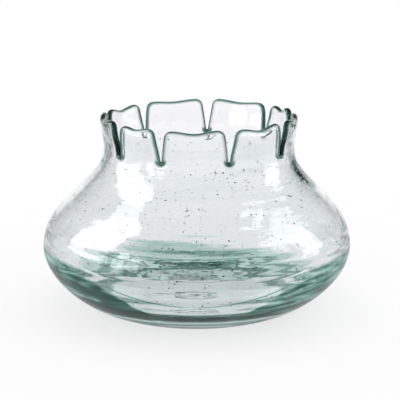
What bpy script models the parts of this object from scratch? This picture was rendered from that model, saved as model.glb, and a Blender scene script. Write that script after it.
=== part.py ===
"""Bud vase of free-blown glass: a low squashed bowl with a thick base, drawn in to a short neck
whose rim was cut into uneven tabs while the glass was soft and then melted round in the flame.

Metres, +Z up. The origin is the centre of the underside, on the table. The photograph looks along +Y.
Turns are in degrees from the side that faces the viewer (-Y), towards the viewer's right (+X).
"""
import math

import bmesh
import bpy
import numpy as np

# Outer form: radii from the axis, heights above the table
FOOT_RADIUS = 0.041           # outer edge of the flat ring that the vase stands on
FOOT_RING_WIDTH = 0.0105      # from that edge to where the underside starts to rise
PUNT_DEPTH = 0.0023           # how far the middle of the underside is pushed up
PONTIL_RADIUS = 0.011         # the rough disc where the rod that held the hot vase broke off
PONTIL_EDGE_WIDTH = 0.0016    # the slope round that disc
PONTIL_RELIEF = 0.0007        # how far that disc stands out of the punt
BELLY_RADIUS = 0.0805         # widest place of the bowl
BELLY_HEIGHT = 0.0335
SHOULDER_RISE = 0.0525        # from the widest place up to the narrowest place of the neck
NECK_RADIUS = 0.04935
TAB_RISE = 0.0155             # from the narrowest place up to the middle height of the rim
LIP_RADIUS = 0.0501           # outer radius at the very top, where the tabs curl in again
LIP_SWELL = 0.0022            # how far the tabs bow outwards below the lip

# Handle lengths of the profile's curves: they set how full each bend is
FOOT_SWEEP = 0.0158
BOWL_SWEEP = 0.0160
SHOULDER_SWEEP = 0.0248
NECK_SWEEP = 0.0203
TAB_SWEEP = 0.0050

# Inner form
WALL = 0.0030                 # thickness from the neck down to the widest place
BASE_THICKNESS = 0.0061       # table to the middle of the inner floor
FLOOR_RADIUS = 0.0465         # nearly flat part of the inner floor
FLOOR_RISE = 0.0007           # how much higher the floor lies at that radius than in the middle
HEEL_INSET = 0.0131           # from the inner wall inwards to the knee, where it turns onto the thick heel
HEEL_HEIGHT = 0.0138          # height of that knee
HEEL_SLOPE = 15.0             # degrees that the heel falls inwards at the knee

# Handle lengths of the inner form's curves
INNER_BOWL_SWEEP = 0.0023
HEEL_SWEEP_UP = 0.0058
HEEL_SWEEP_DOWN = 0.0040
FLOOR_SWEEP = 0.0078

# Rim: the slots between the tabs, each as its turn, and the tab to its right as the heights of its
# left corner, its middle and its right corner over the middle height of the rim, in millimetres
SLOTS_AND_TABS = (
    (-54.5, (0.0, -0.9, 0.3)),
    (-23.0, (-0.2, -1.2, 0.4)),
    (18.0, (0.2, -1.1, 1.0)),
    (57.0, (0.8, -1.0, 0.3)),
    (102.0, (1.0, -1.4, 0.3)),
    (131.5, (0.4, -0.4, 0.9)),
    (174.7, (0.7, -0.5, 0.1)),
    (218.0, (-0.3, -2.0, 0.0)),
    (257.0, (0.6, -1.2, 0.9)),
)
SLOT_DEPTH = 0.0160           # from the middle height of the rim down to the slot's round end
SLOT_END_RADIUS = 0.0009
SLOT_SPLAY = 8.5              # degrees that each side of a slot leans from upright
CORNER_RADIUS = 0.0040        # rounding of each tab's corner, seen square to the tab
BEAD_RADIUS = 0.00165         # the melted edge, a little thicker than the wall
CORNER_OVER_BEAD = 1.3        # a corner stays rounder than the bead that runs round it
CROWN_MARGIN = 0.0050         # plain neck under the slots, where the tabs' grid meets the bowl's
RIM_LEAN = 0.0012             # the neck was drawn a little towards +X

# Mesh density and how the columns of points run
CROWN_COLUMNS_PER_BOWL_COLUMN = 3
FIRST_EVEN_COLUMN = -60.0     # turn of the bowl's first column, in degrees, where they are even
COLUMN_HANDLE = 0.4           # share of a crown column's length that its curve's lower handle takes
COLUMN_START_SHARE = 0.6      # share of a corner's rounding inside the bead that the upper handle takes
PROFILE_SAMPLES = 400
SLOPE_STEP = 0.0005           # half the height over which the profile's slope is read
SLOT_END_STEPS = 2
SLOT_SIDE_STEPS = 3
CORNER_STEPS = 4
TAB_TOP_STEPS = 6
BEAD_STEPS = 3
TAB_FACE_STEPS = 3
SHOULDER_STEPS = 9
BOWL_STEPS = 8
INNER_WALL_STEPS = 6
HEEL_STEPS = 4
PUNT_STEPS = 4

GLASS_COLOUR = (0.78, 0.90, 0.86, 1.0)
GLASS_ROUGHNESS = 0.02
GLASS_IOR = 1.51

MM = 0.001
NECK_HEIGHT = BELLY_HEIGHT + SHOULDER_RISE
RIM_HEIGHT = NECK_HEIGHT + TAB_RISE
SLOT_BOTTOM = RIM_HEIGHT - SLOT_DEPTH
CROWN_BOTTOM = SLOT_BOTTOM - CROWN_MARGIN
COLUMNS_PER_TAB = 2 * (SLOT_END_STEPS + SLOT_SIDE_STEPS + CORNER_STEPS) + TAB_TOP_STEPS


def bezier(start, start_handle, end_handle, end, parameter):
    """Points of a cubic curve: each control point weighted by the curve's Bernstein share of it."""
    t = np.asarray(parameter, float)[..., None]
    points = [np.asarray(point, float) for point in (start, start_handle, end_handle, end)]
    shares = ((1 - t) ** 3, 3 * (1 - t) ** 2 * t, 3 * (1 - t) * t ** 2, t ** 3)
    return sum(share * point for share, point in zip(shares, points))


def smooth_step(share):
    """0 below 0, 1 above 1 and a smooth S between them."""
    share = np.clip(share, 0.0, 1.0)
    return share ** 2 * (3 - 2 * share)


def shoulder_curve(parameter):
    """Outer profile from the widest place up to the neck, as (radius, height)."""
    return bezier(
        (BELLY_RADIUS, BELLY_HEIGHT),
        (BELLY_RADIUS, BELLY_HEIGHT + SHOULDER_SWEEP),
        (NECK_RADIUS, NECK_HEIGHT - NECK_SWEEP),
        (NECK_RADIUS, NECK_HEIGHT),
        parameter,
    )


def lip_curve(parameter):
    """Outer profile of the tabs from the neck up past the tallest corner, as (radius, height)."""
    top = RIM_HEIGHT + CORNER_RADIUS
    return bezier(
        (NECK_RADIUS, NECK_HEIGHT),
        (NECK_RADIUS, NECK_HEIGHT + TAB_SWEEP),
        (LIP_RADIUS + LIP_SWELL, RIM_HEIGHT - TAB_SWEEP),
        (LIP_RADIUS, top),
        parameter,
    )


def lower_bowl_curve(parameter):
    """Outer profile from the foot ring's edge up to the widest place, as (radius, height)."""
    return bezier(
        (FOOT_RADIUS, 0.0),
        (FOOT_RADIUS + FOOT_SWEEP, 0.0),
        (BELLY_RADIUS, BELLY_HEIGHT - BOWL_SWEEP),
        (BELLY_RADIUS, BELLY_HEIGHT),
        parameter,
    )


def inner_bowl_profile():
    """Inner profile from the widest place down the wall and the heel to the floor, as (radius, height)."""
    inner_radius = BELLY_RADIUS - WALL
    knee = np.array((inner_radius - HEEL_INSET, HEEL_HEIGHT))
    slope = math.radians(HEEL_SLOPE)
    up_slope = np.array((math.cos(slope), math.sin(slope)))
    floor_height = BASE_THICKNESS + FLOOR_RISE
    wall = bezier(
        (inner_radius, BELLY_HEIGHT),
        (inner_radius, BELLY_HEIGHT - INNER_BOWL_SWEEP),
        knee + HEEL_SWEEP_UP * up_slope,
        knee,
        np.linspace(0.0, 1.0, INNER_WALL_STEPS + 1),
    )
    heel = bezier(
        knee,
        knee - HEEL_SWEEP_DOWN * up_slope,
        (FLOOR_RADIUS + FLOOR_SWEEP, floor_height),
        (FLOOR_RADIUS, floor_height),
        np.linspace(0.0, 1.0, HEEL_STEPS + 1),
    )
    return np.vstack((wall, heel[1:]))


def upper_profile():
    """The outer profile above the widest place as a dense line, for reading a radius at a height."""
    dense = np.linspace(0.0, 1.0, PROFILE_SAMPLES)
    return np.vstack((shoulder_curve(dense), lip_curve(dense)[1:]))


UPPER_PROFILE = upper_profile()


def outer_radius(height):
    return np.interp(height, UPPER_PROFILE[:, 1], UPPER_PROFILE[:, 0])


def outward(height):
    """Unit normal of the outer profile at a height, as (radial share, upward share)."""
    rise = outer_radius(height + SLOPE_STEP) - outer_radius(height - SLOPE_STEP)
    slope = rise / (2 * SLOPE_STEP)
    length = np.sqrt(1 + slope ** 2)
    return 1 / length, -slope / length


def lean(height):
    """Sideways shift of the neck: none at the widest place, growing smoothly to the full lean."""
    return RIM_LEAN * smooth_step((height - BELLY_HEIGHT) / SHOULDER_RISE)


def place(turn, radius, height):
    """World position of a point given by its turn in radians, its radius and its height."""
    x = radius * math.sin(turn) + float(lean(height))
    return x, -radius * math.cos(turn), height


def wall_point(turn, height, half_thickness, side):
    """A point of the wall above the widest place: the wall's middle, moved half a thickness out
    (side +1) or in (side -1) along the wall's normal. The middle lies half a WALL under the
    outer profile, so a half thickness of WALL / 2 gives the profile itself."""
    radial, upward = outward(height)
    reach = side * half_thickness - WALL / 2
    return place(turn, outer_radius(height) + radial * reach, height + upward * reach)


def corner_rounding():
    """Radius of a tab's corner, which stays rounder than the bead that runs round it."""
    return max(CORNER_RADIUS, CORNER_OVER_BEAD * BEAD_RADIUS)


def tab_outline(slot_turn, width, corner_heights):
    """Edge of one tab and half of each slot beside it, from one slot's lowest point to the next.

    Worked out on the unrolled neck, as (distance round the neck, height), with the direction into
    the glass at each point. Each half is a round slot end, a straight leaning side and a round
    corner; a top that dips in the middle joins the corners.
    """
    splay = math.radians(SLOT_SPLAY)
    corner_radius = corner_rounding()
    left, middle, right = (RIM_HEIGHT + height * MM for height in corner_heights)

    def half(start, sign, corner_height):
        """From a slot's lowest point to the end of the corner; sign -1 mirrors it."""
        points = []
        inward = []
        end_centre = SLOT_BOTTOM + SLOT_END_RADIUS
        for step in range(SLOT_END_STEPS):
            angle = (math.pi / 2 - splay) * step / SLOT_END_STEPS
            across = math.sin(angle)
            down = -math.cos(angle)
            points.append((start + sign * SLOT_END_RADIUS * across, end_centre + SLOT_END_RADIUS * down))
            inward.append((sign * across, down))
        into_tab = (math.cos(splay), -math.sin(splay))
        side_start = (SLOT_END_RADIUS * into_tab[0], end_centre + SLOT_END_RADIUS * into_tab[1])
        corner_centre_height = corner_height - corner_radius
        side_end_height = corner_centre_height - corner_radius * into_tab[1]
        for step in range(SLOT_SIDE_STEPS):
            rise = (side_end_height - side_start[1]) * step / SLOT_SIDE_STEPS
            points.append((start + sign * (side_start[0] + rise * math.tan(splay)), side_start[1] + rise))
            inward.append((sign * into_tab[0], into_tab[1]))
        side_end = side_start[0] + (side_end_height - side_start[1]) * math.tan(splay)
        corner_centre = side_end + corner_radius * into_tab[0]
        for step in range(CORNER_STEPS + 1):
            angle = splay + (math.pi / 2 - splay) * step / CORNER_STEPS
            away = (-math.cos(angle), math.sin(angle))
            points.append((start + sign * (corner_centre + corner_radius * away[0]),
                           corner_centre_height + corner_radius * away[1]))
            inward.append((-sign * away[0], -away[1]))
        return points, inward

    start = NECK_RADIUS * slot_turn
    left_points, left_inward = half(start, 1, left)
    right_points, right_inward = half(start + NECK_RADIUS * width, -1, right)
    top_start = left_points[-1]
    top_end = right_points[-1]
    dip = (left + right) / 2 - middle
    top_points = []
    for step in range(1, TAB_TOP_STEPS):
        share = step / TAB_TOP_STEPS
        sag = dip * (1 - math.cos(2 * math.pi * share)) / 2
        top_points.append((top_start[0] + (top_end[0] - top_start[0]) * share,
                           top_start[1] + (top_end[1] - top_start[1]) * share - sag))
    top_inward = [(0.0, -1.0)] * len(top_points)
    points = left_points + top_points + right_points[::-1]
    inward = left_inward + top_inward + right_inward[::-1]
    return np.array(points[:-1]), np.array(inward[:-1])


def crown_columns():
    """Every column of the crown, from the melted edge down to the crown's bottom.

    Each column leaves the edge square to it, crosses the bead straight and then curves down to its
    own place on the bottom ring, so the columns fan out round every slot. The upper handle ends
    short of the centre of a corner's rounding, so that no two columns cross. Gives three arrays
    over (column, row): the turn, the height and the half thickness of the glass.
    """
    turns = []
    heights = []
    bead_angles = np.linspace(0.0, math.pi / 2, BEAD_STEPS + 1)
    face_steps = np.linspace(0.0, 1.0, TAB_FACE_STEPS + 1)[1:]
    slot_turns = [math.radians(turn) for turn, tab in SLOTS_AND_TABS]
    slot_turns.append(slot_turns[0] + 2 * math.pi)
    start_reach = COLUMN_START_SHARE * (corner_rounding() - BEAD_RADIUS)
    for number, (turn, tab) in enumerate(SLOTS_AND_TABS):
        width = slot_turns[number + 1] - slot_turns[number]
        edge, inward = tab_outline(slot_turns[number], width, tab)
        for column in range(COLUMNS_PER_TAB):
            in_bead = BEAD_RADIUS * (1 - np.cos(bead_angles))[:, None] * inward[column] + edge[column]
            bottom_turn = slot_turns[number] + width * column / COLUMNS_PER_TAB
            bottom = np.array((NECK_RADIUS * bottom_turn, CROWN_BOTTOM))
            reach = COLUMN_HANDLE * np.linalg.norm(bottom - in_bead[-1])
            face = bezier(in_bead[-1], in_bead[-1] + inward[column] * start_reach,
                          bottom + np.array((0.0, reach)), bottom, face_steps)
            points = np.vstack((in_bead, face))
            turns.append(points[:, 0] / NECK_RADIUS)
            heights.append(points[:, 1])
    bead = BEAD_RADIUS * np.sin(bead_angles)
    face = BEAD_RADIUS + (WALL / 2 - BEAD_RADIUS) * face_steps
    return np.array(turns), np.array(heights), np.concatenate((bead, face))


def bowl_turns(crown_turns, share):
    """Turns of the bowl's columns: under the crown they follow it, and lower down they are even."""
    at_crown = crown_turns[::CROWN_COLUMNS_PER_BOWL_COLUMN]
    even = math.radians(FIRST_EVEN_COLUMN) + np.arange(len(at_crown)) * 2 * math.pi / len(at_crown)
    return at_crown + (even - at_crown) * share


def add_ring(mesh, turns, radius, height):
    return [mesh.verts.new(place(turn, radius, height)) for turn in turns]


def join_rings(mesh, upper, lower, outside):
    """Faces between two rings; where the upper ring is finer, several of its points share a face."""
    ratio = len(upper) // len(lower)
    for number in range(len(lower)):
        after = (number + 1) % len(lower)
        above = [upper[(number * ratio + step) % len(upper)] for step in range(ratio + 1)]
        loop = [lower[number], lower[after]] + above[::-1]
        mesh.faces.new(loop if outside else loop[::-1])


def close_centre(mesh, ring, height, outside):
    """A fan of triangles from a ring to a point on the axis."""
    centre = mesh.verts.new(place(0.0, 0.0, height))
    for number, point in enumerate(ring):
        after = ring[(number + 1) % len(ring)]
        mesh.faces.new((centre, after, point) if outside else (centre, point, after))


def outer_rings(mesh, crown_turns, ring):
    """The outer skin from the crown's bottom down the bowl, under the foot and up the punt."""
    heights = np.linspace(CROWN_BOTTOM, BELLY_HEIGHT, SHOULDER_STEPS + 1)[1:]
    shares = np.linspace(0.0, 1.0, SHOULDER_STEPS + 1)[1:]
    for height, share in zip(heights, shares):
        lower = add_ring(mesh, bowl_turns(crown_turns, share), outer_radius(height), height)
        join_rings(mesh, ring, lower, True)
        ring = lower
    turns = bowl_turns(crown_turns, 1.0)
    for radius, height in lower_bowl_curve(np.linspace(1.0, 0.0, BOWL_STEPS + 1)[1:]):
        lower = add_ring(mesh, turns, radius, height)
        join_rings(mesh, ring, lower, True)
        ring = lower
    ring_inner = FOOT_RADIUS - FOOT_RING_WIDTH
    underside = [(ring_inner, 0.0)]
    for step in range(1, PUNT_STEPS + 1):
        share = step / PUNT_STEPS
        radius = ring_inner + (PONTIL_RADIUS + PONTIL_EDGE_WIDTH - ring_inner) * share
        underside.append((radius, PUNT_DEPTH * smooth_step(share)))
    underside.append((PONTIL_RADIUS, PUNT_DEPTH - PONTIL_RELIEF))
    for radius, height in underside:
        lower = add_ring(mesh, turns, radius, height)
        join_rings(mesh, ring, lower, True)
        ring = lower
    close_centre(mesh, ring, PUNT_DEPTH - PONTIL_RELIEF / 2, True)


def inner_rings(mesh, crown_turns, ring):
    """The inner skin from the crown's bottom down to the middle of the floor."""
    heights = np.linspace(CROWN_BOTTOM, BELLY_HEIGHT, SHOULDER_STEPS + 1)[1:]
    shares = np.linspace(0.0, 1.0, SHOULDER_STEPS + 1)[1:]
    for height, share in zip(heights[:-1], shares[:-1]):
        lower = [mesh.verts.new(wall_point(turn, height, WALL / 2, -1))
                 for turn in bowl_turns(crown_turns, share)]
        join_rings(mesh, ring, lower, False)
        ring = lower
    turns = bowl_turns(crown_turns, 1.0)
    for radius, height in inner_bowl_profile():
        lower = add_ring(mesh, turns, radius, height)
        join_rings(mesh, ring, lower, False)
        ring = lower
    close_centre(mesh, ring, BASE_THICKNESS, False)


def glass_material():
    material = bpy.data.materials.new("pale_green_glass")
    material.use_nodes = True
    shader = material.node_tree.nodes["Principled BSDF"]
    shader.inputs["Base Color"].default_value = GLASS_COLOUR
    shader.inputs["Roughness"].default_value = GLASS_ROUGHNESS
    shader.inputs["Metallic"].default_value = 0.0
    shader.inputs["IOR"].default_value = GLASS_IOR
    shader.inputs["Transmission Weight"].default_value = 1.0
    material.diffuse_color = GLASS_COLOUR
    return material


def glass_vase():
    """The whole vase: the crown's two skins share the edge's points, then each runs down its side."""
    turns, heights, half_thickness = crown_columns()
    mesh = bmesh.new()
    edge = [mesh.verts.new(wall_point(turn[0], height[0], 0.0, 1)) for turn, height in zip(turns, heights)]
    for side, run_down in ((1, outer_rings), (-1, inner_rings)):
        ring = edge
        for row in range(1, len(half_thickness)):
            lower = [mesh.verts.new(wall_point(turn[row], height[row], half_thickness[row], side))
                     for turn, height in zip(turns, heights)]
            join_rings(mesh, ring, lower, side > 0)
            ring = lower
        run_down(mesh, turns[:, -1], ring)
    for face in mesh.faces:
        face.smooth = True
    data = bpy.data.meshes.new("glass_vase")
    mesh.to_mesh(data)
    mesh.free()
    data.materials.append(glass_material())
    vase = bpy.data.objects.new("glass_vase", data)
    bpy.context.scene.collection.objects.link(vase)
    return vase


def clear_scene():
    for item in list(bpy.data.objects):
        bpy.data.objects.remove(item, do_unlink=True)


def main():
    clear_scene()
    vase = glass_vase()
    print("glass_vase: faces", len(vase.data.polygons))


main()
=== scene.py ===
# %% [markdown]
# A bud vase of bubbly green glass.
#
# The real vase is one piece of hand-blown recycled glass. A bubble was blown, squashed into a low
# bowl, drawn in to a short neck, and the soft rim was snipped nine times and held in the flame until
# every cut edge melted round. Glass has no paint to lean on: its look comes from its form, from how
# thick it is, and from what stands around it. So this lesson spends most of its lines on the form.

# %% Load the frame and measure it
import math

import bpy
import numpy as np
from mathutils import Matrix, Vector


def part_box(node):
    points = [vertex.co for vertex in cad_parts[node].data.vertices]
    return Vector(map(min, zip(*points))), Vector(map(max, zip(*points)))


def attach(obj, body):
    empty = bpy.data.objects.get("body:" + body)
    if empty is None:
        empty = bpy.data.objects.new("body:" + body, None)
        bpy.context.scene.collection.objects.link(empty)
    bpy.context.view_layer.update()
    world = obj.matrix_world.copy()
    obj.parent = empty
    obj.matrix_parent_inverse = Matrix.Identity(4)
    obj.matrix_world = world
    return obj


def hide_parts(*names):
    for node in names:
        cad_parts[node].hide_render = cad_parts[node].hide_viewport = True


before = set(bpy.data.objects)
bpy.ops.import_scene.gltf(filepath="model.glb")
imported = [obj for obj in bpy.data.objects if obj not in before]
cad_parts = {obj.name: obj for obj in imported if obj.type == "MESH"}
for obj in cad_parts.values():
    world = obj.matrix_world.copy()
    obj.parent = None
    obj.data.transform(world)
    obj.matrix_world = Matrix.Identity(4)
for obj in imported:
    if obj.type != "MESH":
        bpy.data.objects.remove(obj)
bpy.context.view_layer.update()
cad_low, cad_high = (np.array(corner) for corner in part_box("glass_vase"))
print("CAD box, mm:", np.round(cad_low * 1000, 1), np.round(cad_high * 1000, 1))

# %% [markdown]
# The camera. The photograph was taken from about 0.76 m in front and 0.23 m above the table with a
# long lens. The vase stands a little left of the picture's middle, so the camera stands a little to
# the right of the vase.

# %% Camera
MM = 0.001
PICTURE_PIXELS = 400
FOCAL_PIXELS = 1488.0
SENSOR_WIDTH = 36.0
CAMERA_RIGHT = 1.7 * MM
CAMERA_DISTANCE = 760 * MM
CAMERA_HEIGHT = 228.2 * MM
CAMERA_PITCH = 12.75

camera_data = bpy.data.cameras.new("camera")
camera_data.sensor_width = SENSOR_WIDTH
camera_data.lens = SENSOR_WIDTH * FOCAL_PIXELS / PICTURE_PIXELS
camera_data.clip_start = 0.01
camera = bpy.data.objects.new("camera", camera_data)
camera.location = (CAMERA_RIGHT, -CAMERA_DISTANCE, CAMERA_HEIGHT)
camera.rotation_euler = (math.radians(90 - CAMERA_PITCH), 0.0, 0.0)
bpy.context.scene.collection.objects.link(camera)
bpy.context.scene.camera = camera
print("lens, mm:", round(camera_data.lens, 1))

# %% [markdown]
# The profile. A blown vase is a turned form, so most of it is one outline spun about the axis. Two
# outlines, really: the outer skin and the inner one. The outer one is a chain of cubic curves whose
# handles stand level or upright where the form is level or upright. The inner one follows it a wall
# further in down to the belly, and from there a smooth line runs through a dozen points, because the
# heel and the floor were found point by point. The widest radius is the CAD box's own.

# %% Sizes of the form
BELLY_RADIUS = float(cad_high[0] - cad_low[0]) / 2
BELLY_HEIGHT = 33.5 * MM
NECK_HEIGHT = 86.0 * MM
NECK_RADIUS = 49.35 * MM
RIM_HEIGHT = 101.5 * MM
LIP_RADIUS = 50.1 * MM
LIP_SWELL = 2.2 * MM
FOOT_RADIUS = 41.0 * MM
FOOT_INNER_RADIUS = 30.5 * MM
PUNT_DEPTH = 2.3 * MM
PONTIL_RADIUS = 11.0 * MM
PONTIL_RELIEF = 0.7 * MM
SHOULDER_SWEEP = 24.8 * MM
NECK_SWEEP = 20.3 * MM
BOWL_SWEEP = 16.0 * MM
FOOT_SWEEP = 15.8 * MM
LIP_SWEEP = 5.0 * MM
LIP_OVERSHOOT = 4 * MM
WALL = 3.0 * MM
INNER_FORM = ((0.0, 6.3), (22.0, 6.3), (38.0, 6.75), (48.0, 6.95), (54.0, 8.4), (59.0, 11.3), (63.5, 13.5),
              (67.5, 15.6), (71.0, 20.4), (74.0, 24.6), (76.3, 30.5), (77.5, 33.5))
RIM_LEAN = 1.2 * MM

# %% [markdown]
# Four tools for lines: a cubic curve for a form that is known by its ends and its bends, a smooth line
# through points for one that is known by its places, a smooth step for every soft change, and a
# function that spaces the points of a line evenly, so that the mesh's faces come out alike.

# %% Curves and smooth steps
def bezier(points, parameter):
    """Cubic curve: every control point times its Bernstein weight at each parameter."""
    t = np.asarray(parameter, float)[..., None]
    a, b, c, d = (np.asarray(point, float) for point in points)
    return (1 - t) ** 3 * a + 3 * (1 - t) ** 2 * t * b + 3 * (1 - t) * t ** 2 * c + t ** 3 * d


def smooth_step(share):
    """0 below 0, 1 above 1 and three squares less two cubes between."""
    share = np.clip(share, 0.0, 1.0)
    return share * share * (3 - 2 * share)


def evenly(points, count):
    """The same line with its points an equal distance apart, by interpolation over arc length."""
    lengths = np.concatenate(([0.0], np.cumsum(np.linalg.norm(np.diff(points, axis=0), axis=1))))
    stops = np.linspace(0.0, lengths[-1], count)
    return np.stack([np.interp(stops, lengths, points[:, axis]) for axis in (0, 1)], axis=1)


def through(points, steps):
    """Catmull-Rom line through the points, its knots the square roots of their distances apart.

    Each piece mixes the straight lines through its four nearest points, first in threes and then in one.
    """
    ends = np.vstack((2 * points[0] - points[1], points, 2 * points[-1] - points[-2]))
    knots = np.concatenate(([0.0], np.cumsum(np.sqrt(np.linalg.norm(np.diff(ends, axis=0), axis=1)))))
    pieces = []
    for piece in range(1, len(points)):
        t = np.linspace(knots[piece], knots[piece + 1], steps, endpoint=False)[:, None]
        a, b, c, d = knots[piece - 1:piece + 3]
        p, q, r, s = ends[piece - 1:piece + 3]
        first = ((b - t) * p + (t - a) * q) / (b - a)
        second = ((c - t) * q + (t - b) * r) / (c - b)
        third = ((d - t) * r + (t - c) * s) / (d - c)
        before = ((c - t) * first + (t - a) * second) / (c - a)
        beyond = ((d - t) * second + (t - b) * third) / (d - b)
        pieces.append(((c - t) * before + (t - b) * beyond) / (c - b))
    return np.vstack(pieces + [points[-1:]])


# %% The outer line and the inner bowl
INNER_STEPS = 60
CURVE_POINTS = 600
dense = np.linspace(0.0, 1.0, CURVE_POINTS)
lower_bowl = bezier(((FOOT_RADIUS, 0), (FOOT_RADIUS + FOOT_SWEEP, 0),
                     (BELLY_RADIUS, BELLY_HEIGHT - BOWL_SWEEP), (BELLY_RADIUS, BELLY_HEIGHT)), dense)
shoulder = bezier(((BELLY_RADIUS, BELLY_HEIGHT), (BELLY_RADIUS, BELLY_HEIGHT + SHOULDER_SWEEP),
                   (NECK_RADIUS, NECK_HEIGHT - NECK_SWEEP), (NECK_RADIUS, NECK_HEIGHT)), dense)
lip = bezier(((NECK_RADIUS, NECK_HEIGHT), (NECK_RADIUS, NECK_HEIGHT + LIP_SWEEP),
              (LIP_RADIUS + LIP_SWELL, RIM_HEIGHT - LIP_SWEEP),
              (LIP_RADIUS, RIM_HEIGHT + LIP_OVERSHOOT)), dense)
outer_line = np.vstack((lower_bowl, shoulder[1:], lip[1:]))
inner_bowl = through(np.array(INNER_FORM) * MM, INNER_STEPS)[::-1]
print("points of the outer line:", len(outer_line))

# %% [markdown]
# The crown of tabs. Seen square on, the unrolled rim is a row of nine tabs with slots between them.
# Its edge is one endless line: down a slot, round its small end, up the next side, round a corner of
# 4 mm and along a top that sags a little in the middle. Cutting slots out of a finished mesh would
# leave a jagged edge, and the melted bead that the eye goes to first. So the grid is built from the
# edge instead: every column of points starts on the edge, square to it, and bends down to the neck.

# %% The nine tabs: turn of the slot at the left, then left, middle and right height in mm over the rim
TABS = (
    (-54.5, (0.0, -0.9, 0.3)),
    (-23.0, (-0.2, -1.2, 0.4)),
    (18.0, (0.2, -1.1, 1.0)),
    (57.0, (0.8, -1.0, 0.3)),
    (102.0, (1.0, -1.4, 0.3)),
    (131.5, (0.4, -0.4, 0.9)),
    (174.7, (0.7, -0.5, 0.1)),
    (218.0, (-0.3, -2.0, 0.0)),
    (257.0, (0.6, -1.2, 0.9)),
)
SLOT_BOTTOM = RIM_HEIGHT - 16.0 * MM
SLOT_END_RADIUS = 0.5 * MM
SLOT_SPLAY = math.radians(9.3)
CORNER_RADIUS = 4.0 * MM
BEAD_RADIUS = 1.65 * MM
BEAD_SPAN = math.radians(96)
TAB_HALF = 1.35 * MM
FILLET_LENGTH = 1.6 * MM
SLOT_BEAD_GAIN = 0.05
SLOT_END_REACH = 2.5 * MM
CROWN_BOTTOM = SLOT_BOTTOM - 5.0 * MM
SLOT_END_STEPS = 7
SLOT_SIDE_STEPS = 11
CORNER_STEPS = 9
TAB_TOP_STEPS = 18
COLUMNS_PER_TAB = 2 * (SLOT_END_STEPS + SLOT_SIDE_STEPS + CORNER_STEPS) + TAB_TOP_STEPS
BEAD_STEPS = 10
FACE_STEPS = 13
FACE_CROWDING = 1.5
UPPER_HANDLE_SHARE = 0.6
LOWER_HANDLE_SHARE = 0.4
THICKENING = 1.2


def half_tab_edge(corner_height):
    """From a slot's lowest point to the end of a corner: arc, leaning line, arc.

    Distances run from the slot's middle. Returns the points and the direction into the glass at each.
    """
    end_angle = np.linspace(0.0, math.pi / 2 - SLOT_SPLAY, SLOT_END_STEPS, endpoint=False)
    end_inward = np.stack((np.sin(end_angle), -np.cos(end_angle)), axis=1)
    end_centre = np.array((0.0, SLOT_BOTTOM + SLOT_END_RADIUS))
    end_arc = end_centre + SLOT_END_RADIUS * end_inward
    into_tab = np.array((math.cos(SLOT_SPLAY), -math.sin(SLOT_SPLAY)))
    side_start = end_centre + SLOT_END_RADIUS * into_tab
    side_rise = corner_height - CORNER_RADIUS * (1 + into_tab[1]) - side_start[1]
    side_run = np.array((math.tan(SLOT_SPLAY), 1.0)) * side_rise
    side = side_start + np.linspace(0.0, 1.0, SLOT_SIDE_STEPS, endpoint=False)[:, None] * side_run
    corner_centre = side_start + side_run + CORNER_RADIUS * into_tab
    corner_angle = np.linspace(SLOT_SPLAY, math.pi / 2, CORNER_STEPS + 1)
    corner_inward = np.stack((np.cos(corner_angle), -np.sin(corner_angle)), axis=1)
    corner = corner_centre - CORNER_RADIUS * corner_inward
    inward = np.vstack((end_inward, np.tile(into_tab, (SLOT_SIDE_STEPS, 1)), corner_inward))
    return np.vstack((end_arc, side, corner)), inward


def tab_edge(slot_distance, width, heights):
    """Edge from one slot's lowest point to just before the next: a half, a sagging top, a mirrored half."""
    left, middle, right = (RIM_HEIGHT + height * MM for height in heights)
    mirror = np.array((-1.0, 1.0))
    left_edge, left_inward = half_tab_edge(left)
    right_edge, right_inward = half_tab_edge(right)
    right_edge = right_edge * mirror + (width, 0.0)
    share = np.linspace(0.0, 1.0, TAB_TOP_STEPS + 1)[1:-1]
    top = left_edge[-1] + share[:, None] * (right_edge[-1] - left_edge[-1])
    top[:, 1] -= ((left + right) / 2 - middle) * (1 - np.cos(2 * math.pi * share)) / 2
    edge = np.vstack((left_edge, top, right_edge[:0:-1])) + (slot_distance, 0.0)
    inward = np.vstack((left_inward, np.tile((0.0, -1.0), (len(top), 1)), (right_inward * mirror)[:0:-1]))
    return edge, inward


# %% Columns of the crown, from the melted edge down to the neck
slot_turns = np.radians([turn for turn, heights in TABS])
tab_widths = np.diff(np.append(slot_turns, slot_turns[0] + 2 * math.pi))
edges = [tab_edge(NECK_RADIUS * turn, NECK_RADIUS * width, heights)
         for turn, width, (_, heights) in zip(slot_turns, tab_widths, TABS)]
edge = np.vstack([line for line, _ in edges])
edge_inward = np.vstack([inward for _, inward in edges])
column_share = np.arange(COLUMNS_PER_TAB) / COLUMNS_PER_TAB
bottom_turn = np.concatenate([turn + width * column_share for turn, width in zip(slot_turns, tab_widths)])
bottom = np.stack((NECK_RADIUS * bottom_turn, np.full(len(bottom_turn), CROWN_BOTTOM)), axis=1)

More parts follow.
